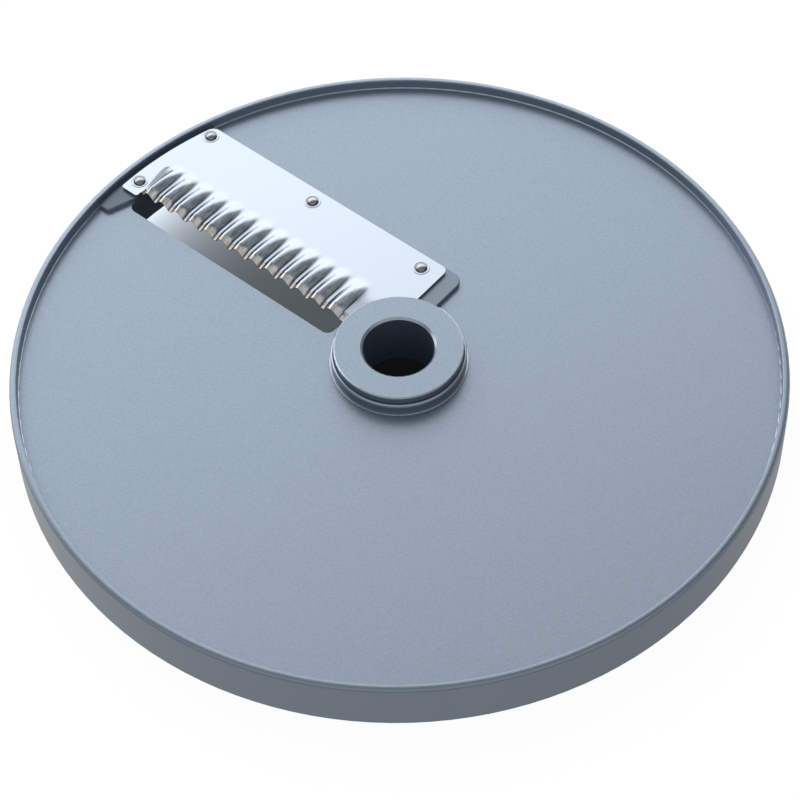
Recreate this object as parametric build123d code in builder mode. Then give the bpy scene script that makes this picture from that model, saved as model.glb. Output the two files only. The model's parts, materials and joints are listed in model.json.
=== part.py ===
from build123d import *
import os
from math import sqrt

# Corrugated slicing disc for a vegetable-cutting food processor.
# Millimetres. +Z is the shaft axis, and the rim stands on Z = 0.
# The cutting edge lies along +X on Y = 0, and the disc turns it towards +Y.

# Rim, lip and plate
disc_diameter = 205.0
rim_height = 14.85
rim_width = 8.4
rim_taper = 0.3
rim_foot_round = 0.3
lip_height = 3.05
lip_width = 2.2
lip_outer_round = 1.2
lip_inner_round = 0.35
lip_base_fillet = 0.3
plate_thickness = 4.0
underside_fillet = 2.0

# Hub: three turned steps above the plate and a plain boss below it
bore_diameter = 19.0
bore_chamfer = 0.6
hub_rise = 5.8
hub_top_diameter = 34.4
hub_top_round = 0.35
hub_middle_diameter = 35.9
hub_middle_rise = 2.9
hub_base_diameter = 37.0
hub_base_rise = 0.35
hub_step_round = 0.15
hub_foot_gap = 0.5
hub_foot_fillet = 1.0
drive_slot_width = 6.2
drive_slot_depth = 4.5
drive_slot_angle = 50.0

# Throat: the slot in front of the blade that slices fall through
throat_front_y = 5.2
throat_back_y = -8.5
throat_hub_gap = 1.4
throat_rim_gap = 0.9
throat_corner_radius = 2.3
throat_relief = 2.5

# Blade
blade_width = 31.2
blade_thickness = 0.9
blade_end_x = 8.25
blade_lip_gap = 1.7
blade_hub_gap = 0.6
blade_corner_radius = 1.8
tab_front_y = 1.8
tab_throat_overlap = 0.3
tab_corner_radius = 0.7

# Flutes pressed up along the cutting edge, running straight back from it
flute_pitch = 5.545
flute_tab_gap = 4.75
inner_flute_width = 6.4
flute_length = 14.0
flute_height = 1.9
flute_foot_share = 0.12
flute_crest_share = 0.515
flute_fade_steps = 4
bevel_length = 2.3
edge_thickness = 0.15

# Blade seat: a flat pad raised on the plate, with a tongue beside the throat
seat_height = 1.3
seat_back_margin = 0.7
seat_end_margin = 5.0
seat_corner_radius = 3.2
seat_edge_round = 0.25
tongue_front_y = 10.2
tongue_root_y = 2.0
tongue_width = 2.9
tongue_corner_radius = 1.5

# Rivets
rivet_head_diameter = 3.4
rivet_head_height = 0.9
rivet_shank_diameter = 2.0
rivet_hole_clearance = 0.05
rivet_tip_clearance = 0.3
rivet_outer_margin = 2.7
rivet_corner_margin = 3.3
rivet_back_margin = 4.2
rivet_end_margin = 6.05
rivet_tab_margin = 4.5

# Levels and places worked out from the sizes above
outer_radius = disc_diameter / 2
rim_inner_radius = outer_radius - rim_width
lip_inner_radius = outer_radius - lip_width
plate_top = rim_height - lip_height
plate_bottom = plate_top - plate_thickness
bore_radius = bore_diameter / 2
hub_top = plate_top + hub_rise
hub_top_radius = hub_top_diameter / 2
hub_middle_radius = hub_middle_diameter / 2
hub_base_radius = hub_base_diameter / 2
throat_inner_x = hub_base_radius + throat_hub_gap
throat_outer_x = rim_inner_radius - throat_rim_gap
seat_top = plate_top + seat_height
blade_top = seat_top + blade_thickness
blade_back_y = -blade_width
blade_outer_radius = lip_inner_radius - blade_lip_gap
tab_inner_x = throat_outer_x - tab_throat_overlap
rivet_circle_radius = blade_outer_radius - rivet_outer_margin
rivet_corner_y = blade_back_y + rivet_corner_margin
rivet_back_y = blade_back_y + rivet_back_margin
rivet_tab_y = tab_front_y - rivet_tab_margin
rivet_outer_x = sqrt(rivet_circle_radius**2 - rivet_corner_y**2)
rivet_inner_x = blade_end_x + rivet_end_margin
rivet_points = [
    (rivet_outer_x, rivet_corner_y),
    ((rivet_outer_x + rivet_inner_x) / 2, rivet_back_y),
    (rivet_inner_x, rivet_back_y),
    (sqrt(rivet_circle_radius**2 - rivet_tab_y**2), rivet_tab_y),
]
rivet_hole_radius = rivet_shank_diameter / 2 + rivet_hole_clearance


# Blade seat, rooted in the plate, the lip and the hub so that it is one casting with them
seat_root = plate_top - plate_thickness / 2
seat_end_x = blade_end_x - seat_end_margin
seat_back_y = blade_back_y - seat_back_margin
with BuildPart() as blade_seat:
    with BuildSketch(Plane.XY.offset(seat_root)):
        with BuildLine():
            FilletPolyline(
                (seat_end_x, throat_back_y),
                (seat_end_x, seat_back_y),
                (outer_radius, seat_back_y),
                (outer_radius, tongue_front_y),
                (throat_outer_x + tongue_width, tongue_front_y),
                (throat_outer_x, tongue_root_y),
                (throat_outer_x, throat_back_y),
                radius=[0, seat_corner_radius, 0, 0, tongue_corner_radius, 0, 0],
                close=True,
            )
        make_face()
        Circle(lip_inner_radius + lip_width / 3, mode=Mode.INTERSECT)
        Circle((bore_radius + hub_top_radius) / 2, mode=Mode.SUBTRACT)
    extrude(amount=seat_top - seat_root)
    fillet(blade_seat.faces().sort_by(Axis.Z)[-1].edges(), seat_edge_round)


# Disc body: a turned section, each corner with its radius, height and rounding
body_section = [
    (bore_radius, hub_foot_gap + bore_chamfer, 0),
    (bore_radius, hub_top - bore_chamfer, 0),
    (bore_radius + bore_chamfer, hub_top, 0),
    (hub_top_radius, hub_top, hub_top_round),
    (hub_top_radius, plate_top + hub_middle_rise, 0),
    (hub_middle_radius, plate_top + hub_middle_rise, hub_step_round),
    (hub_middle_radius, plate_top + hub_base_rise, 0),
    (hub_base_radius, plate_top + hub_base_rise, hub_step_round),
    (hub_base_radius, plate_top, 0),
    (lip_inner_radius, plate_top, lip_base_fillet),
    (lip_inner_radius, rim_height, lip_inner_round),
    (outer_radius - rim_taper, rim_height, lip_outer_round),
    (outer_radius, 0, rim_foot_round),
    (rim_inner_radius, 0, rim_foot_round),
    (rim_inner_radius, plate_bottom, underside_fillet),
    (hub_base_radius, plate_bottom, hub_foot_fillet),
    (hub_base_radius, hub_foot_gap, hub_top_round),
    (bore_radius + bore_chamfer, hub_foot_gap, 0),
]
with BuildPart() as disc_body:
    with BuildSketch(Plane.XZ):
        with BuildLine():
            FilletPolyline(
                [(radius, height) for radius, height, rounding in body_section],
                radius=[rounding for radius, height, rounding in body_section],
                close=True,
            )
        make_face()
    revolve(axis=Axis.Z)
    add(blade_seat.part)

    # Throat, with its back wall cut away below so that slices fall clear
    with BuildSketch(Plane.XY.offset(hub_top)):
        with Locations(((throat_inner_x + throat_outer_x) / 2, (throat_front_y + throat_back_y) / 2)):
            RectangleRounded(
                throat_outer_x - throat_inner_x,
                throat_front_y - throat_back_y,
                throat_corner_radius,
            )
    extrude(until=Until.LAST, dir=(0, 0, -1), mode=Mode.SUBTRACT)
    with BuildSketch(Plane.YZ.offset(throat_inner_x + throat_corner_radius)):
        with BuildLine():
            Polyline(
                (throat_back_y, plate_bottom),
                (throat_back_y - throat_relief, plate_bottom),
                (throat_back_y, plate_bottom + throat_relief),
                close=True,
            )
        make_face()
    extrude(amount=throat_outer_x - throat_inner_x - 2 * throat_corner_radius, mode=Mode.SUBTRACT)

    # Slot across the foot of the hub for the cross pin of the drive shaft
    with BuildSketch(Plane.XY.offset(hub_foot_gap)):
        Rectangle(2 * hub_base_diameter, drive_slot_width, rotation=drive_slot_angle)
    extrude(amount=drive_slot_depth, mode=Mode.SUBTRACT)

    # Rivet holes, through the plate and blind where they meet the rim
    with Locations(Plane.XY.offset(seat_top)):
        with Locations(*rivet_points):
            Hole(rivet_hole_radius, depth=seat_height + plate_thickness + rivet_tip_clearance)


# Corrugated blade: a flat sheet with a fluted and ground front edge
blade_hub_radius = hub_middle_radius + blade_hub_gap
first_valley_x = tab_inner_x - flute_tab_gap
last_pitch = int((first_valley_x - inner_flute_width - blade_hub_radius) / flute_pitch)
valleys = [first_valley_x - flute_pitch * step for step in range(last_pitch + 1)]
valleys.append(valleys[-1] - inner_flute_width)
flute_bounds = [tab_inner_x, *valleys, blade_end_x]

# Stations along a flute: the cutting edge, the back of the bevel, then steps to where it fades out
fade_step = (flute_length - bevel_length) / flute_fade_steps
flute_stations = [(0, edge_thickness)]
for step in range(flute_fade_steps + 1):
    flute_stations.append((-bevel_length - step * fade_step, blade_thickness))


def flute_section(outer_x, inner_x, y, height, thickness):
    """Section of the sheet between two valleys: a flat foot, a soft rise to the crest and a steep fall."""
    foot_x = outer_x - flute_foot_share * (outer_x - inner_x)
    crest_x = outer_x - flute_crest_share * (outer_x - inner_x)
    third = (foot_x - crest_x) / 3
    rise = height * max(0, 1 - abs(y / flute_length) ** 3) ** 1.2
    with BuildSketch(Plane.XZ.offset(-y)) as section:
        with BuildLine():
            for base in (seat_top, seat_top + thickness):
                crest = base + rise
                Line((outer_x, base), (foot_x, base))
                Bezier((foot_x, base), (foot_x - third, base), (crest_x + third, crest), (crest_x, crest))
                Bezier((crest_x, crest), ((crest_x + inner_x) / 2, crest), (inner_x, base))
            for x in (outer_x, inner_x):
                Line((x, seat_top), (x, seat_top + thickness))
        make_face()
    return section.sketch


with BuildPart() as corrugated_blade:
    with BuildSketch(Plane.XY.offset(seat_top)) as blade_outline:
        with BuildLine():
            Polyline(
                (blade_end_x, -flute_length),
                (blade_end_x, blade_back_y),
                (outer_radius, blade_back_y),
                (outer_radius, tab_front_y),
                (tab_inner_x, tab_front_y),
                (tab_inner_x, -flute_length),
                close=True,
            )
        make_face()
        Circle(blade_outer_radius, mode=Mode.INTERSECT)
        fillet(blade_outline.vertices().group_by(Axis.Y)[0], blade_corner_radius)
        fillet(blade_outline.vertices().group_by(Axis.Y)[-1], tab_corner_radius)
    extrude(amount=blade_thickness)
    for outer_x, inner_x in zip(flute_bounds, flute_bounds[1:]):
        height = flute_height if inner_x > blade_end_x else 0
        sections = [flute_section(outer_x, inner_x, y, height, thickness) for y, thickness in flute_stations]
        loft(sections, ruled=True)
    with BuildSketch(Plane.XY.offset(seat_top)):
        Circle(blade_hub_radius)
    extrude(amount=hub_rise, mode=Mode.SUBTRACT)
    with Locations(Plane.XY.offset(blade_top)):
        with Locations(*rivet_points):
            Hole(rivet_hole_radius)


# Blade rivets: four alike, each a round head on a plain shank
rivet_tip = seat_top - seat_height - plate_thickness
with BuildPart() as rivet:
    with BuildSketch(Plane.XZ):
        with BuildLine():
            Polyline(
                (0, blade_top + rivet_head_height),
                (0, rivet_tip),
                (rivet_shank_diameter / 2, rivet_tip),
                (rivet_shank_diameter / 2, blade_top),
                (rivet_head_diameter / 2, blade_top),
            )
            RadiusArc(
                (rivet_head_diameter / 2, blade_top),
                (0, blade_top + rivet_head_height),
                -((rivet_head_diameter / 2) ** 2 + rivet_head_height**2) / (2 * rivet_head_height),
            )
        make_face()
    revolve(axis=Axis.Z)

with BuildPart() as blade_rivets:
    with Locations(*rivet_points):
        add(rivet.part)


# One file for each piece
pieces = {
    "disc_body": disc_body.part,
    "corrugated_blade": corrugated_blade.part,
    "blade_rivets": blade_rivets.part,
}
os.makedirs("parts", exist_ok=True)
for name, piece in pieces.items():
    piece.label = name
    export_step(piece, f"parts/{name}.step")
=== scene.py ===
import json
import math

import bpy
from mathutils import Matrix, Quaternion, Vector


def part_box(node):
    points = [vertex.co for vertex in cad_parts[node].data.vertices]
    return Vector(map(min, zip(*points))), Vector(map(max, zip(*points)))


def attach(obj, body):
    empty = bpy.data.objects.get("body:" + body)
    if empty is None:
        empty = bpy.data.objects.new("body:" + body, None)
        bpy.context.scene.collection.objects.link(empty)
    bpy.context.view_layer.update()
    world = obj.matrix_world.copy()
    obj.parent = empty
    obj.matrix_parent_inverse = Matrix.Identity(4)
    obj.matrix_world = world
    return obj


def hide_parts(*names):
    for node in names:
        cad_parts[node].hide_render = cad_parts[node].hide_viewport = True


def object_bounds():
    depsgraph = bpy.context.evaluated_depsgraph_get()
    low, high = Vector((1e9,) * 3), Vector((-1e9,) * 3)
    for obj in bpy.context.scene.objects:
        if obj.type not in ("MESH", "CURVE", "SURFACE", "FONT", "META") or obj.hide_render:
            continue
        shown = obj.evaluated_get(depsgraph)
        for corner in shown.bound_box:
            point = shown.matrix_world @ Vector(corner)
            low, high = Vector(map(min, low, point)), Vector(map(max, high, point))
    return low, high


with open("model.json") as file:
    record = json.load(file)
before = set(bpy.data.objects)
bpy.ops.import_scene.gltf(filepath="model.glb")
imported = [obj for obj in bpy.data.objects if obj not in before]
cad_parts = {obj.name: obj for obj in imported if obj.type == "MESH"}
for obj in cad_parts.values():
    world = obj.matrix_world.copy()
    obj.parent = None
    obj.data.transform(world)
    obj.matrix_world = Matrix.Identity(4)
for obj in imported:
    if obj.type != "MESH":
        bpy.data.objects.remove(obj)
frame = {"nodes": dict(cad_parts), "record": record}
cad_low, cad_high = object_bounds()

# Sizes and places below are in millimetres, and colours are linear. A pair of limits is a soft step:
# where it starts, and where it is complete.
MM = 0.001
UP = Vector((0, 0, 1))
SCENE = bpy.context.scene
VECTOR_MATH = "ShaderNodeVectorMath"

# Camera, fitted to the photograph, with its angles in degrees
CAMERA_AZIMUTH = 220.6
CAMERA_ELEVATION = 52.675
CAMERA_ROLL = -1.583
CAMERA_LENS = 106.94
CAMERA_SENSOR = 36.0
CAMERA_CLIP_START = 10.0
CAMERA_TARGET = Vector((-6.15, 7.18, 6.89))
CAMERA_DISTANCE = 624.98

# Places on the disc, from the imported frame
BLADE_LOW, BLADE_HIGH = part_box("corrugated_blade")
BLADE_INNER_X = BLADE_LOW.x / MM
BLADE_BACK_Y = BLADE_LOW.y / MM
TAB_FRONT_Y = BLADE_HIGH.y / MM
SEAT_TOP = BLADE_LOW.z / MM
RIVET_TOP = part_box("blade_rivets")[1].z / MM
RIM_RADIUS = cad_high.x / MM
BORE_RADIUS = frame["record"]["mounts"][0]["dims"]["r_mm"]
PLACE_MARGIN = 0.01
SAME_PLACE = 0.001

# Blade: its outline, its flutes and its ground bevel
BLADE_OUTER_RADIUS = 98.6
BLADE_HUB_RADIUS = 18.55
BLADE_THICKNESS = 0.9
BLADE_CORNER = 1.8
TAB_INNER_X = 92.9
TAB_CORNER = 0.7
FLUTE_COUNT = 13
FLUTE_PITCH = 5.545
FIRST_FLUTE_WIDTH = 4.75
LAST_FLUTE_WIDTH = 6.4
FLUTE_LENGTH = 14.0
FLUTE_HEIGHT = 1.9
BEVEL_LENGTH = 2.3
EDGE_THICKNESS = 0.15

# Section of a flute, as shares of its width from its outer valley: end of the flat foot, and the crest
FOOT_SHARE = 0.12
CREST_SHARE = 0.515
GROUND_OUTER_X = TAB_INNER_X - PLACE_MARGIN - FOOT_SHARE * FIRST_FLUTE_WIDTH

# How the flutes run out: powers of their fade, the width over which a valley has softened at their ends,
# the shares of it that are averaged, and how far behind the edge a valley is a sharp line
FADE_POWER = 2.8
FADE_ROUNDING = 1.5
SOFT_VALLEY = 1.3
SOFT_POWER = 3
SOFT_SHARES = (-0.5, -0.25, 0.0, 0.25, 0.5)
CRISP_VALLEY = 8.0

# How finely the sheet is divided along the cutting edge and across it
TAB_COLUMNS = 4
FOLD_COLUMNS = 7
FOLD_WIDTH = 1.4
VALLEY_SPLIT = 0.02
RISE_COLUMNS = 9
FALL_COLUMNS = 12
LAST_VALLEY_SPLIT = 0.12
HUB_COLUMNS = 9
BEVEL_ROWS = 5
FLUTE_ROWS = 28
PLAIN_ROWS = 12
CORNER_TURNS = (0, 20, 40, 60, 75, 90)

# Painted shade on the blade, along its valleys, where each rise starts and on the foot between: limits
# across a flute are shares of its width, and starts and ends are limits behind the cutting edge
VALLEY_ACROSS = (0.93, 0.99)
VALLEY_END = (6.5, 10.5)
RISE_SHADE = 0.85
RISE_ACROSS_START = (0.13, 0.2)
RISE_ACROSS_END = (0.22, 0.3)
RISE_END = (5.0, 9.5)
FOOT_SHADE = 0.42
FOOT_ACROSS = (0.1, 0.14)
FOOT_START = (0.0, 3.0)
FOOT_END = (7.0, 12.0)
FIRST_RISE_SHADE = 0.6375
FIRST_RISE_ACROSS = (0.36, 0.5)
FIRST_RISE_START = (1.0, 4.0)
FIRST_RISE_END = (9.0, 12.5)
STEEP_ACROSS = (0.56, 0.7)

# Painted shade on the fold of the tab beside the first flute
FOLD_SHADE = 0.6
FOLD_REACH = 1.0
FOLD_START = (2.0, 10.0)
FOLD_END = (11.0, 12.5)
FOLD_SOFTNESS = 0.25
FOLD_LEAST = 0.2

# Rivet heads, the pressed rings round them, and the rounded shoulder on the hub's middle step
RIVET_HEAD_HEIGHT = 0.9
RIVET_RING_RADIUS = 2.12
RIVET_RING_HALF_WIDTH = 0.26
RIVET_RING_HALF_HEIGHT = 0.09
SHOULDER_RADIUS = 17.55
SHOULDER_HEIGHT = 14.75
SHOULDER_HALF_WIDTH = 0.42
SHOULDER_HALF_HEIGHT = 0.68
RING_TURNS = 96
RING_SIDES = 12

# Finishes of the casting in the order of its material slots, and where each begins: the plain coat; a darker
# coat on the seat, which is painted shade on the hub's walls; the bore; painted shade on the outer wall; and
# a painted highlight on edges and fillets. A tilt is the upward part of a face's normal.
COAT, DARK_COAT, BORE_METAL, WALL_SHADE, HIGHLIGHT_EDGE = range(5)
SEAT_MARGIN = 0.05
SEAT_RIM_GAP = 2.0
TONGUE_RADIUS = 60.0
WALL_DEPTH = 1.1
WALL_TILTS = (-0.1, 0.6)
BORE_CHAMFER_RADIUS = 10.2
HUB_WALL_RADIUS = 17.2
HUB_FOOT_RADIUS = 18.6
HUB_LOW = 11.9
HUB_HIGH = 16.0
LIP_FOOT_RADII = (99.97, 100.31)
LIP_FOOT_HEIGHTS = (11.805, 12.11)
UPRIGHT_TILT = 0.15
LEVEL_TILT = 0.97

# Colours, metallic shares and roughness of the finishes
COAT_COLOUR = (0.35, 0.422, 0.518, 1.0)
COAT_SPECK = (0.295, 0.36, 0.44, 1.0)
# Painted shade: darker colour of the outer wall, also used on the seat's tongue
WALL_SHADE_COLOUR = (0.145, 0.175, 0.213, 1.0)
# Darker colour of the seat's top, also painted shade on the hub's walls
SEAT_COLOUR = (0.222, 0.275, 0.34, 1.0)
COAT_METALLIC = 0.85
COAT_ROUGHNESS = 0.4
# Painted highlight on edges and fillets of the casting
EDGE_HIGHLIGHT_COLOUR = (0.52, 0.59, 0.68, 1.0)
EDGE_METALLIC = 0.9
EDGE_ROUGHNESS = 0.3
BORE_COLOUR = (0.25, 0.335, 0.44, 1.0)
BORE_METALLIC = 0.8
BORE_ROUGHNESS = 0.4
STEEL_COLOUR = (0.505, 0.565, 0.65, 1.0)
STEEL_ROUGHNESS = 0.2
BEVEL_COLOUR = (0.84, 0.8, 0.77, 1.0)
BEVEL_ROUGHNESS = 0.34
RIVET_COLOUR = (0.5, 0.5, 0.52, 1.0)
RIVET_FOOT_SHADE = (0.04, 0.042, 0.046, 1.0)
RIVET_ROUGHNESS = 0.2

# Grain of the finishes: noise scales are per metre, and a bump is a strength and a depth
NOISE_DETAIL = 2.0
NOISE_ROUGHNESS = 0.5
FINE_DETAIL = 3.0
FINE_ROUGHNESS = 0.6
COAT_GRAIN = 2600.0
COAT_GRAIN_LIMITS = (0.35, 0.65)
COAT_BUMP = (0.12, 0.03)
BORE_GRAIN = 900.0
BORE_BUMP = (0.1, 0.02)
RIVET_GRAIN = 900.0
RIVET_BUMP = (0.25, 0.04)
RIVET_CROWN_SHARE = 0.2

# Streaks along the steep sides of the flutes, grind marks that also lighten the sides as painted light where
# their tone is below zero, and chips that make the end of the bevel ragged
STREAK_GRAIN = 320.0
STREAK_STRETCH = (5.0, 1.0, 1.0)
STREAK_LIMITS = (0.38, 0.62)
STREAK_TONES = (-0.75, 0.05)
STREAK_BUMP = (0.1, 0.03)
CHIP_GRAIN = 850.0
CHIP_GAIN = 2.4
CHIP_OFFSET = -1.25
BEVEL_LIMITS = (0.05, 0.3)
# How much the painted shade in the creases darkens the steel
CREASE_SHADE = 0.94
UNGROUND = -1.0

# Floor: its glow to the eye, the tone that catches the disc's shadow, and the tones that bounce light,
# darker under the disc as painted shade
FLOOR_HALF = 3000.0
FLOOR_GLOW = 0.95
FLOOR_SHADOW = (0.1, 0.1, 0.1, 1.0)
BOUNCE_OPEN = (0.8, 0.8, 0.8, 1.0)
BOUNCE_UNDER = (0.12, 0.13, 0.14, 1.0)
WHITE = (1.0, 1.0, 1.0, 1.0)
BLACK = (0.0, 0.0, 0.0, 1.0)

# Shade of the floor under the disc: it deepens from the rim inwards, and once more under the hub
SHADE_START = 94.0
SHADE_FADE = 12.0
SHADE_DEEPEST = 0.1
SHADE_COLOUR = (0.84, 0.94, 1.05, 1.0)
HUB_SHADE = 0.05
HUB_SHADE_LIMITS = (14.0, 20.0)

# Share of the floor's glow that reflections show under the disc and on the shadow side
UNDER_GLINT = 0.06
SIDE_GLINT = 0.7
SIDE_LIMITS = (0.0, 0.9)

# Studio light by direction: a wide bright screen behind the disc and a little to the left, a weaker one
# in front, a faint glow overhead, and a dim level all round. The screen's turn is in degrees from the
# left towards the far side, and limits are cosines of the angle from a direction.
SCREEN_RADIANCE = 1.7
SCREEN_TURN = 73
SCREEN_EDGE = (-0.15, 0.1)
SCREEN_BRIGHT = (0.27, 0.76)
SCREEN_FAINT_SHARE = 0.1
FRONT_RADIANCE = 0.29
FRONT_EDGE = (0.15, 0.5)
OVERHEAD_RADIANCE = 0.14
OVERHEAD_EDGE = (0.2, 0.85)
DIM_RADIANCE = 0.19


def connect(tree, socket, value):
    """Links a socket to another one, or sets it to a value."""
    if isinstance(value, bpy.types.NodeSocket):
        tree.links.new(value, socket)
    else:
        socket.default_value = value


def add_node(tree, kind, settings=None, **inputs):
    """Adds a shader node, sets its options, and sets or links its named inputs."""
    node = tree.nodes.new(kind)
    for option, value in (settings or {}).items():
        setattr(node, option, value)
    for name, value in inputs.items():
        connect(tree, node.inputs[name.replace("_", " ")], value)
    return node


def add_math(tree, operation, *values, kind="ShaderNodeMath", output="Value"):
    """Adds a math node on numbers, vectors or sockets, and gives its output."""
    node = tree.nodes.new(kind)
    node.operation = operation
    for socket, value in zip(node.inputs, values):
        connect(tree, socket, value)
    return node.outputs[output]


def add_range(tree, value, limits=(0.0, 1.0), results=(0.0, 1.0), shape="LINEAR"):
    """Maps a value between two limits to one between two results, and gives the output."""
    node = add_node(
        tree,
        "ShaderNodeMapRange",
        {"interpolation_type": shape},
        Value=value,
        From_Min=limits[0],
        From_Max=limits[1],
        To_Min=results[0],
        To_Max=results[1],
    )
    return node.outputs["Result"]


def add_mix(tree, share, first, second, blend="MIX"):
    """Mixes two colours, and gives the output."""
    settings = {"data_type": "RGBA", "blend_type": blend}
    return add_node(tree, "ShaderNodeMix", settings, Factor=share, A=first, B=second).outputs["Result"]


def add_noise(tree, place, scale, detail=NOISE_DETAIL, roughness=NOISE_ROUGHNESS):
    """Adds a noise texture, and gives its output."""
    inputs = {"Vector": place, "Scale": scale, "Detail": detail, "Roughness": roughness}
    return add_node(tree, "ShaderNodeTexNoise", **inputs).outputs["Fac"]


def mix_shaders(tree, share, first, second):
    """Mixes two shaders, and gives the output."""
    node = tree.nodes.new("ShaderNodeMixShader")
    for socket, value in zip(node.inputs, (share, first, second)):
        connect(tree, socket, value)
    return node.outputs["Shader"]


def new_material(name):
    """A material with an empty node tree: gives it, its tree and the socket of its surface."""
    material = bpy.data.materials.new(name)
    material.use_nodes = True
    material.node_tree.nodes.clear()
    output = material.node_tree.nodes.new("ShaderNodeOutputMaterial")
    return material, material.node_tree, output.inputs["Surface"]


def finish_metal(tree, surface, colour, metallic, roughness, grain, bump):
    """Ends a metal finish with its shader and its grain as a bump."""
    strength, depth = bump
    relief = add_node(tree, "ShaderNodeBump", Strength=strength, Distance=depth * MM, Height=grain)
    shader = add_node(
        tree,
        "ShaderNodeBsdfPrincipled",
        Base_Color=colour,
        Metallic=metallic,
        Roughness=roughness,
        Normal=relief.outputs["Normal"],
    )
    tree.links.new(shader.outputs["BSDF"], surface)


def coat_material(name, colour, speck=None, metallic=COAT_METALLIC, roughness=COAT_ROUGHNESS):
    """Satin metallic coating with a fine grain in its surface and, with a speck, in its colour."""
    material, tree, surface = new_material(name)
    place = add_node(tree, "ShaderNodeTexCoord").outputs["Object"]
    grain = add_noise(tree, place, COAT_GRAIN, FINE_DETAIL, FINE_ROUGHNESS)
    if speck:
        colour = add_mix(tree, add_range(tree, grain, COAT_GRAIN_LIMITS), speck, colour)
    finish_metal(tree, surface, colour, metallic, roughness, grain, COAT_BUMP)
    return material


def highlight_material(name):
    """Lighter coating, as a painted highlight on edges and fillets."""
    return coat_material(name, EDGE_HIGHLIGHT_COLOUR, metallic=EDGE_METALLIC, roughness=EDGE_ROUGHNESS)


def bore_material():
    """Machined wall of the shaft bore."""
    material, tree, surface = new_material("bore_metal")
    place = add_node(tree, "ShaderNodeTexCoord").outputs["Object"]
    grain = add_noise(tree, place, BORE_GRAIN)
    finish_metal(tree, surface, BORE_COLOUR, BORE_METALLIC, BORE_ROUGHNESS, grain, BORE_BUMP)
    return material


def blade_material():
    """Polished sheet steel with painted shade in its creases, streaks that lighten the steep sides of the
    flutes as painted light, and a ragged ground bevel.
    """
    material, tree, surface = new_material("blade_steel")
    place = add_node(tree, "ShaderNodeTexCoord").outputs["Object"]
    stretch = add_node(tree, "ShaderNodeMapping", Vector=place, Scale=STREAK_STRETCH)
    streaks = add_noise(tree, stretch.outputs["Vector"], STREAK_GRAIN, FINE_DETAIL)
    chips = add_noise(tree, place, CHIP_GRAIN, FINE_DETAIL, FINE_ROUGHNESS)

    def mark(name):
        """One of the measures that the sheet carries."""
        return add_node(tree, "ShaderNodeAttribute", {"attribute_name": name}).outputs["Fac"]

    ragged = add_math(tree, "MULTIPLY_ADD", chips, CHIP_GAIN, CHIP_OFFSET)
    bevel = add_range(tree, add_math(tree, "ADD", mark("ground"), ragged), BEVEL_LIMITS)
    steel = add_mix(tree, bevel, STEEL_COLOUR, BEVEL_COLOUR)
    # Painted light: the streaks lift the tone of the steep sides of the flutes
    streak_tone = add_range(tree, streaks, STREAK_LIMITS, STREAK_TONES)
    bright = add_math(tree, "SUBTRACT", 1.0, add_math(tree, "MULTIPLY", mark("slope"), streak_tone))
    # Painted shade along the creases
    unshaded = add_math(tree, "MULTIPLY_ADD", mark("crease"), -CREASE_SHADE, 1.0)
    tone = add_math(tree, "MULTIPLY", bright, unshaded)
    colour = add_mix(tree, 1.0, steel, tone, "MULTIPLY")
    roughness = add_range(tree, bevel, results=(STEEL_ROUGHNESS, BEVEL_ROUGHNESS))
    finish_metal(tree, surface, colour, 1.0, roughness, streaks, STREAK_BUMP)
    return material


def rivet_material():
    """Steel rivet head, with painted shade darkening it from its crown to its foot."""
    material, tree, surface = new_material("rivet_steel")
    place = add_node(tree, "ShaderNodeTexCoord").outputs["Object"]
    height = add_node(tree, "ShaderNodeSeparateXYZ", Vector=place).outputs["Z"]
    foot = (RIVET_TOP - RIVET_HEAD_HEIGHT) * MM
    top = (RIVET_TOP - RIVET_CROWN_SHARE * RIVET_HEAD_HEIGHT) * MM
    # Painted shade round the foot of the head
    crown = add_range(tree, height, (foot, top), shape="SMOOTHSTEP")
    colour = add_mix(tree, crown, RIVET_FOOT_SHADE, RIVET_COLOUR)
    grain = add_noise(tree, place, RIVET_GRAIN)
    finish_metal(tree, surface, colour, 1.0, RIVET_ROUGHNESS, grain, RIVET_BUMP)
    return material


def is_highlit(radius, height, tilt):
    """Whether a face of the casting is on an edge or fillet that gets a painted highlight."""
    sloped = UPRIGHT_TILT < tilt < LEVEL_TILT
    if radius < BORE_CHAMFER_RADIUS:
        return sloped
    if HUB_LOW < height < HUB_HIGH and HUB_WALL_RADIUS < radius < HUB_FOOT_RADIUS:
        return tilt > UPRIGHT_TILT
    if height > HUB_HIGH and radius < HUB_FOOT_RADIUS:
        return sloped
    at_foot = LIP_FOOT_RADII[0] < radius < LIP_FOOT_RADII[1]
    return at_foot and LIP_FOOT_HEIGHTS[0] < height < LIP_FOOT_HEIGHTS[1]


def body_finish(radius, height, tilt):
    """The finish of a face of the casting, by its place and its tilt."""
    if abs(height - SEAT_TOP) < SEAT_MARGIN and radius < RIM_RADIUS - SEAT_RIM_GAP:
        # The seat's top is darker than the plate, and darker still on its tongue by the rim, where it takes
        # the outer wall's colour
        return WALL_SHADE if radius > TONGUE_RADIUS else DARK_COAT
    if radius < BORE_RADIUS + PLACE_MARGIN:
        return BORE_METAL
    # Painted shade on the outer wall and the outside of the lip
    if radius > RIM_RADIUS - WALL_DEPTH and WALL_TILTS[0] < tilt < WALL_TILTS[1]:
        return WALL_SHADE
    # Painted shade on the hub's upright walls
    if radius < HUB_FOOT_RADIUS and height > HUB_LOW and abs(tilt) < UPRIGHT_TILT:
        return DARK_COAT
    return HIGHLIGHT_EDGE if is_highlit(radius, height, tilt) else COAT


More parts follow.
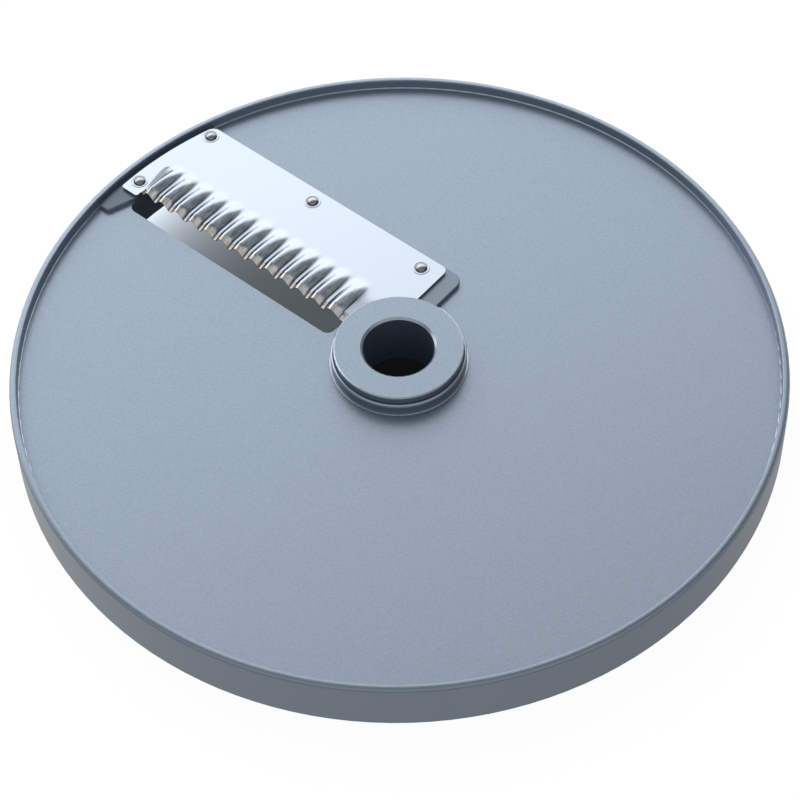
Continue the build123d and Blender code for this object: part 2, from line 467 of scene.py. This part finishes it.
def dress_body():
    """Coats the casting: darker on its seat, with painted shade on its outer wall and hub walls, painted
    highlights on edges and fillets, and a bare bore.
    """
    mesh = frame["nodes"]["disc_body"].data
    mesh.materials.clear()
    mesh.materials.append(coat_material("coat", COAT_COLOUR, COAT_SPECK))
    mesh.materials.append(coat_material("dark_coat", SEAT_COLOUR))
    mesh.materials.append(bore_material())
    mesh.materials.append(coat_material("wall_shade", WALL_SHADE_COLOUR))
    mesh.materials.append(highlight_material("painted_highlight"))
    for face in mesh.polygons:
        radius = math.hypot(face.center.x, face.center.y) / MM
        face.material_index = body_finish(radius, face.center.z / MM, face.normal.z)


def dress_rivets():
    """Finishes the rivets."""
    rivets = frame["nodes"]["blade_rivets"].data
    rivets.materials.clear()
    rivets.materials.append(rivet_material())


def ramp(value, limits):
    """Soft step of a value between two limits, from 0 to 1."""
    share = min(1.0, max(0.0, (value - limits[0]) / (limits[1] - limits[0])))
    return share**2 * (3 - 2 * share)


def band(value, start, end):
    """Soft step up and soft step down again."""
    return ramp(value, start) * (1 - ramp(value, end))


def flute_bounds():
    """Middles of the valleys, from the tab to the hub."""
    bounds = [TAB_INNER_X, TAB_INNER_X - FIRST_FLUTE_WIDTH]
    for _ in range(FLUTE_COUNT - 2):
        bounds.append(bounds[-1] - FLUTE_PITCH)
    bounds.append(bounds[-1] - LAST_FLUTE_WIDTH)
    return bounds


FLUTE_BOUNDS = flute_bounds()


def flute_across(x):
    """Share of the way across a flute from its outer valley, or 0 off the flutes."""
    for outer, inner in zip(FLUTE_BOUNDS, FLUTE_BOUNDS[1:]):
        if inner <= x <= outer:
            return (outer - x) / (outer - inner)
    return 0.0


def flute_section(x):
    """Height of the flutes at the cutting edge at this place along it."""
    across = flute_across(x)
    if across < CREST_SHARE:
        climb = max(0.0, across - FOOT_SHARE) / (CREST_SHARE - FOOT_SHARE)
        return FLUTE_HEIGHT * climb**2 * (3 - 2 * climb)
    return FLUTE_HEIGHT * (1 - ((across - CREST_SHARE) / (1 - CREST_SHARE)) ** 2)


def flute_share(y):
    """How much of a flute is left this far behind the cutting edge."""
    if y > 0:
        return 0.0
    return max(0.0, 1 - abs(y / FLUTE_LENGTH) ** FADE_POWER) ** FADE_ROUNDING


def flute_rise(x, y):
    """Height of the flutes at a place on the blade, with valleys that soften towards their ends."""
    share = flute_share(y)
    if share == 0:
        return 0.0
    spread = SOFT_VALLEY * abs(y / FLUTE_LENGTH) ** SOFT_POWER
    heights = [flute_section(x + spread * part) for part in SOFT_SHARES]
    return share * sum(heights) / len(heights)


def crease_shade(x, y):
    """Painted shade on the sheet here: along each valley, where the next rise starts, and on the foot
    between.
    """
    if y > 0:
        return 0.0
    if x > FLUTE_BOUNDS[0]:
        reach = FOLD_REACH * band(-y, FOLD_START, FOLD_END)
        beyond = ramp(x - FLUTE_BOUNDS[0], (reach, reach + FOLD_SOFTNESS))
        return FOLD_SHADE * (1 - beyond) * ramp(reach, (0.0, FOLD_LEAST))
    across = flute_across(x)
    valley = ramp(across, VALLEY_ACROSS) * (1 - ramp(-y, VALLEY_END))
    if x > FLUTE_BOUNDS[1]:
        first_rise = (1 - ramp(across, FIRST_RISE_ACROSS)) * band(-y, FIRST_RISE_START, FIRST_RISE_END)
        return max(valley, FIRST_RISE_SHADE * first_rise)
    rise = band(across, RISE_ACROSS_START, RISE_ACROSS_END) * (1 - ramp(-y, RISE_END))
    foot = (1 - ramp(across, FOOT_ACROSS)) * band(-y, FOOT_START, FOOT_END)
    return max(valley, RISE_SHADE * rise, FOOT_SHADE * foot)


def slope_share(x, y):
    """How much of the steep side of a flute this place has."""
    return ramp(flute_across(x), STEEP_ACROSS) * flute_share(y)


def is_unground(x, y):
    """Whether a place is on the tab, which has no bevel."""
    return y > 0 or x > GROUND_OUTER_X


def ground_share(x, y):
    """How far into the ground bevel a place is: 1 at the cutting edge, 0 where it ends, less beyond."""
    if is_unground(x, y):
        return UNGROUND
    return max(UNGROUND, 1 + y / BEVEL_LENGTH)


def sheet_thickness(x, y):
    """Thickness of the sheet, ground thin towards the cutting edge but not on the tab."""
    if is_unground(x, y):
        return BLADE_THICKNESS
    return EDGE_THICKNESS + (BLADE_THICKNESS - EDGE_THICKNESS) * min(1.0, -y / BEVEL_LENGTH)


def corner_cut(radius, depth):
    """How far a corner of this radius cuts in, at this depth beyond the start of its rounding."""
    if depth <= 0:
        return 0.0
    return radius - math.sqrt(max(0.0, radius**2 - depth**2))


def steps(start, end, count):
    """Even steps from start up to but not including end."""
    return [start + (end - start) * step / count for step in range(count)]


def blade_columns():
    """Places along the cutting edge, close together on the flutes."""
    columns = steps(BLADE_OUTER_RADIUS, TAB_INNER_X + FOLD_WIDTH, TAB_COLUMNS)
    columns.extend(steps(TAB_INNER_X + FOLD_WIDTH, TAB_INNER_X, FOLD_COLUMNS))
    shares = [0.0, VALLEY_SPLIT]
    shares.extend(steps(FOOT_SHARE, CREST_SHARE, RISE_COLUMNS))
    shares.extend(steps(CREST_SHARE, 1, FALL_COLUMNS))
    for outer, inner in zip(FLUTE_BOUNDS, FLUTE_BOUNDS[1:]):
        columns.extend(outer + (inner - outer) * share for share in shares)
    columns.append(FLUTE_BOUNDS[-1])
    columns.extend(steps(FLUTE_BOUNDS[-1] - LAST_VALLEY_SPLIT, BLADE_INNER_X, HUB_COLUMNS))
    columns.append(BLADE_INNER_X)
    return columns


def blade_rows():
    """Places from the front of the tab to the back of the blade."""
    turns = [math.radians(turn) for turn in CORNER_TURNS]
    rows = [TAB_FRONT_Y - TAB_CORNER * (1 - math.cos(turn)) for turn in turns]
    rows.extend(steps(0, -BEVEL_LENGTH, BEVEL_ROWS))
    rows.extend(steps(-BEVEL_LENGTH, -FLUTE_LENGTH, FLUTE_ROWS))
    rows.extend(steps(-FLUTE_LENGTH, BLADE_BACK_Y + BLADE_CORNER, PLAIN_ROWS))
    rows.extend(BLADE_BACK_Y + BLADE_CORNER * (1 - math.sin(turn)) for turn in turns)
    return rows


def blade_limits(y, on_tab):
    """Inner and outer ends of the blade at this distance from the cutting edge."""
    back_depth = BLADE_BACK_Y + BLADE_CORNER - y
    tab_depth = y - (TAB_FRONT_Y - TAB_CORNER)
    cut = corner_cut(BLADE_CORNER, back_depth) + corner_cut(TAB_CORNER, tab_depth)
    outer = math.sqrt(BLADE_OUTER_RADIUS**2 - y**2) - cut
    if on_tab:
        return TAB_INNER_X + cut, outer
    around_hub = math.sqrt(max(0.0, BLADE_HUB_RADIUS**2 - y**2))
    return max(around_hub, BLADE_INNER_X + cut), outer


def blade_plan():
    """The blade in plan: the places of its points, and the faces between them."""
    columns = blade_columns()
    rows = blade_rows()
    places = {}
    faces = []
    for front, rear in zip(rows, rows[1:]):
        strip = []
        for y in (front, rear):
            inner, outer = blade_limits(y, front > 0)
            line = []
            for x in columns:
                key = (round(min(max(x, inner), outer), 4), round(y, 4))
                line.append(places.setdefault(key, len(places)))
            strip.append(line)
        for column in range(len(columns) - 1):
            corners = [strip[0][column], strip[1][column], strip[1][column + 1], strip[0][column + 1]]
            face = list(dict.fromkeys(corners))
            if len(face) > 2:
                faces.append(face)
    return list(places), faces


def outline_edges(faces):
    """Edges that have a face on one side only, in the direction of that face."""
    sides = {}
    for face in faces:
        for start, end in zip(face, face[1:] + face[:1]):
            sides[(start, end)] = True
    return [(start, end) for start, end in sides if (end, start) not in sides]


def sharpen_blade(mesh, rims, count):
    """Makes the sheet's outline, its corners and the valleys near the cutting edge sharp."""
    valleys = {round(inner, 3) for inner in FLUTE_BOUNDS[1:]}
    rim_edges = set()
    for start, end in rims:
        rim_edges.update(((start, end), (end, start)))
        rim_edges.update(((start + count, end + count), (end + count, start + count)))
    for edge in mesh.edges:
        start, end = edge.vertices
        first = mesh.vertices[start].co / MM
        second = mesh.vertices[end].co / MM
        in_valley = round(first.x, 3) in valleys and abs(first.x - second.x) < SAME_PLACE
        crisp = in_valley and min(first.y, second.y) > -CRISP_VALLEY
        upright = abs(start - end) == count
        if crisp or upright or (start, end) in rim_edges:
            edge.use_edge_sharp = True


def add_object(data):
    """Puts a new object into the scene, named as its data."""
    thing = bpy.data.objects.new(data.name, data)
    SCENE.collection.objects.link(thing)
    return thing


def smooth_mesh(name, points, faces):
    """A mesh with smooth faces."""
    mesh = bpy.data.meshes.new(name)
    mesh.from_pydata(points, [], faces)
    mesh.update()
    for face in mesh.polygons:
        face.use_smooth = True
    return mesh


def set_measure(mesh, name, values):
    """Gives the points of a mesh a measure that its material reads."""
    mesh.attributes.new(name, "FLOAT", "POINT").data.foreach_set("value", values)


def build_blade():
    """The corrugated blade as one sheet, with its flutes, its ground bevel and its outline."""
    places, faces = blade_plan()
    rims = outline_edges(faces)
    count = len(places)
    top = []
    bottom = []
    for x, y in places:
        level = SEAT_TOP + flute_rise(x, y)
        bottom.append((x * MM, y * MM, level * MM))
        top.append((x * MM, y * MM, (level + sheet_thickness(x, y)) * MM))
    whole = list(faces)
    whole.extend([index + count for index in reversed(face)] for face in faces)
    whole.extend([end, start, start + count, end + count] for start, end in rims)
    mesh = smooth_mesh("blade_sheet", top + bottom, whole)
    mesh.materials.append(blade_material())
    measures = (
        ("crease", crease_shade, 0.0),
        ("slope", slope_share, 0.0),
        ("ground", ground_share, UNGROUND),
    )
    for name, measure, below in measures:
        set_measure(mesh, name, [measure(x, y) for x, y in places] + [below] * count)
    sharpen_blade(mesh, rims, count)
    blade = add_object(mesh)
    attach(blade, "root")
    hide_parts("corrugated_blade")


def ring_mesh(name, places, radius, height, half_width, half_height):
    """Closed rings of one size and an oval section about upright axes, as one mesh."""
    points = []
    faces = []
    for x, y in places:
        first = len(points)
        for turn in range(RING_TURNS):
            angle = math.tau * turn / RING_TURNS
            for side in range(RING_SIDES):
                tilt = math.tau * side / RING_SIDES
                reach = radius + half_width * math.cos(tilt)
                level = height + half_height * math.sin(tilt)
                point = (x + reach * math.cos(angle), y + reach * math.sin(angle), level)
                points.append(Vector(point) * MM)
        for turn in range(RING_TURNS):
            this = first + turn * RING_SIDES
            following = first + (turn + 1) % RING_TURNS * RING_SIDES
            for side in range(RING_SIDES):
                after = (side + 1) % RING_SIDES
                faces.append((this + side, following + side, following + after, this + after))
    return smooth_mesh(name, points, faces)


def rivet_places():
    """Middles of the rivet heads, from the points on their crowns."""
    heads = {}
    for vertex in frame["nodes"]["blade_rivets"].data.vertices:
        x, y, height = (measure / MM for measure in vertex.co)
        if height > RIVET_TOP - PLACE_MARGIN:
            heads[(round(x, 1), round(y, 1))] = True
    return list(heads)


def add_rings():
    """Rounded shoulder on the hub's middle step, and the pressed rings round the rivet heads."""
    shoulder = ring_mesh(
        "hub_shoulder",
        [(0, 0)],
        SHOULDER_RADIUS,
        SHOULDER_HEIGHT,
        SHOULDER_HALF_WIDTH,
        SHOULDER_HALF_HEIGHT,
    )
    # The shoulder carries the painted highlight coat
    shoulder.materials.append(highlight_material("shoulder_highlight"))
    pressed = ring_mesh(
        "rivet_rings",
        rivet_places(),
        RIVET_RING_RADIUS,
        RIVET_TOP - RIVET_HEAD_HEIGHT,
        RIVET_RING_HALF_WIDTH,
        RIVET_RING_HALF_HEIGHT,
    )
    pressed.materials.append(blade_material())
    set_measure(pressed, "ground", [UNGROUND] * len(pressed.vertices))
    for mesh, slot in ((shoulder, "coated_casting"), (pressed, "blade_steel")):
        ring = add_object(mesh)
        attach(ring, "root")


def add_camera():
    """Camera at the photograph's viewpoint; gives the level directions away from it and to its right."""
    azimuth = math.radians(CAMERA_AZIMUTH)
    elevation = math.radians(CAMERA_ELEVATION)
    back = Vector((
        math.sin(azimuth) * math.cos(elevation),
        -math.cos(azimuth) * math.cos(elevation),
        math.sin(elevation),
    ))
    data = bpy.data.cameras.new("camera")
    data.sensor_width = CAMERA_SENSOR
    data.lens = CAMERA_LENS
    data.clip_start = CAMERA_CLIP_START * MM
    camera = add_object(data)
    camera.location = CAMERA_TARGET * MM + back * (CAMERA_DISTANCE * MM)
    camera.rotation_mode = "QUATERNION"
    roll = Quaternion(UP, math.radians(CAMERA_ROLL))
    camera.rotation_quaternion = (-back).to_track_quat("-Z", "Y") @ roll
    SCENE.camera = camera
    away = Vector((-back.x, -back.y, 0)).normalized()
    return away, away.cross(UP)


def floor_look(tree, reach, open_floor):
    """The floor as it is seen: white and keeping the disc's shadow, and shaded under the disc."""
    depth = add_math(tree, "SUBTRACT", reach, SHADE_START * MM)
    falloff = add_math(tree, "EXPONENT", add_math(tree, "DIVIDE", depth, SHADE_FADE * MM))
    lit = add_range(tree, falloff, results=(SHADE_DEEPEST, FLOOR_GLOW))
    hub_limits = [limit * MM for limit in HUB_SHADE_LIMITS]
    level = add_math(tree, "MULTIPLY", lit, add_range(tree, reach, hub_limits, (HUB_SHADE, 1.0)))
    tint = add_mix(tree, open_floor, SHADE_COLOUR, WHITE)
    glow = add_node(tree, "ShaderNodeEmission", Color=tint, Strength=level)
    faint = add_mix(tree, open_floor, BLACK, FLOOR_SHADOW)
    shadowed = add_node(tree, "ShaderNodeBsdfDiffuse", Color=faint)
    look = add_node(tree, "ShaderNodeAddShader")
    tree.links.new(glow.outputs["Emission"], look.inputs[0])
    tree.links.new(shadowed.outputs["BSDF"], look.inputs[1])
    return look.outputs["Shader"]


def floor_shows(tree, place, open_floor, shadow_side):
    """How much of the floor's look shows: all of it to the eye, and less in some of its reflections."""
    path = add_node(tree, "ShaderNodeLightPath").outputs
    shiny = add_math(tree, "MAXIMUM", path["Is Glossy Ray"], path["Is Transmission Ray"])
    outward = add_math(tree, "NORMALIZE", place, kind=VECTOR_MATH, output="Vector")
    side = add_math(tree, "DOT_PRODUCT", outward, shadow_side, kind=VECTOR_MATH)
    side_level = add_range(tree, side, SIDE_LIMITS, (1.0, SIDE_GLINT), "SMOOTHSTEP")
    glint = add_math(tree, "MULTIPLY", open_floor, side_level)
    mirrored = add_math(tree, "MULTIPLY", shiny, add_math(tree, "MAXIMUM", glint, UNDER_GLINT))
    return add_math(tree, "MAXIMUM", path["Is Camera Ray"], mirrored)


def floor_material(shadow_side):
    """Pale floor: white to the eye and in reflections, plain to other light, and clear from below."""
    material, tree, surface = new_material("floor")
    geometry = add_node(tree, "ShaderNodeNewGeometry").outputs
    place = geometry["Position"]
    reach = add_math(tree, "LENGTH", place, kind=VECTOR_MATH)
    open_floor = add_math(tree, "GREATER_THAN", reach, SHADE_START * MM)
    # Painted shade: the floor bounces less light under the disc
    bounce = add_mix(tree, open_floor, BOUNCE_UNDER, BOUNCE_OPEN)
    plain = add_node(tree, "ShaderNodeBsdfDiffuse", Color=bounce).outputs["BSDF"]
    look = floor_look(tree, reach, open_floor)
    above = mix_shaders(tree, floor_shows(tree, place, open_floor, shadow_side), plain, look)
    clear = add_node(tree, "ShaderNodeBsdfTransparent").outputs["BSDF"]
    tree.links.new(mix_shaders(tree, geometry["Backfacing"], above, clear), surface)
    return material


def add_floor(shadow_side):
    """A wide plain floor at the foot of the rim, dimmer in reflections on its shadow side."""
    half = FLOOR_HALF * MM
    mesh = bpy.data.meshes.new("floor")
    corners = [(-half, -half, 0), (half, -half, 0), (half, half, 0), (-half, half, 0)]
    mesh.from_pydata(corners, [], [(0, 1, 2, 3)])
    mesh.materials.append(floor_material(shadow_side))
    floor = add_object(mesh)


def light_scene(away, right):
    """Studio light by direction, without lamps."""
    world = bpy.data.worlds.new("studio")
    world.use_nodes = True
    tree = world.node_tree
    direction = add_node(tree, "ShaderNodeTexCoord").outputs["Generated"]

    def edge(axis, limits):
        """Soft edge of a light, from dark to bright along this axis."""
        along = add_math(tree, "DOT_PRODUCT", direction, axis, kind=VECTOR_MATH)
        return add_range(tree, along, limits, shape="SMOOTHSTEP")

    turn = math.radians(SCREEN_TURN)
    toward = away * math.sin(turn) - right * math.cos(turn)
    bright_share = 1 - SCREEN_FAINT_SHARE
    lean = add_math(tree, "MULTIPLY_ADD", edge(toward, SCREEN_BRIGHT), bright_share, SCREEN_FAINT_SHARE)
    screen = add_math(tree, "MULTIPLY", edge(toward, SCREEN_EDGE), lean)
    overhead = add_math(tree, "MULTIPLY", edge(UP, OVERHEAD_EDGE), OVERHEAD_RADIANCE)
    behind = add_math(tree, "MULTIPLY_ADD", screen, SCREEN_RADIANCE, overhead)
    front = add_math(tree, "MULTIPLY_ADD", edge(-away, FRONT_EDGE), FRONT_RADIANCE, DIM_RADIANCE)
    background = tree.nodes["Background"].inputs
    background["Color"].default_value = WHITE
    tree.links.new(add_math(tree, "MAXIMUM", behind, front), background["Strength"])
    SCENE.world = world


dress_body()
build_blade()
dress_rivets()
add_rings()
away_side, right_side = add_camera()
add_floor(right_side)
light_scene(away_side, right_side)
SCENE.view_settings.view_transform = "Standard"
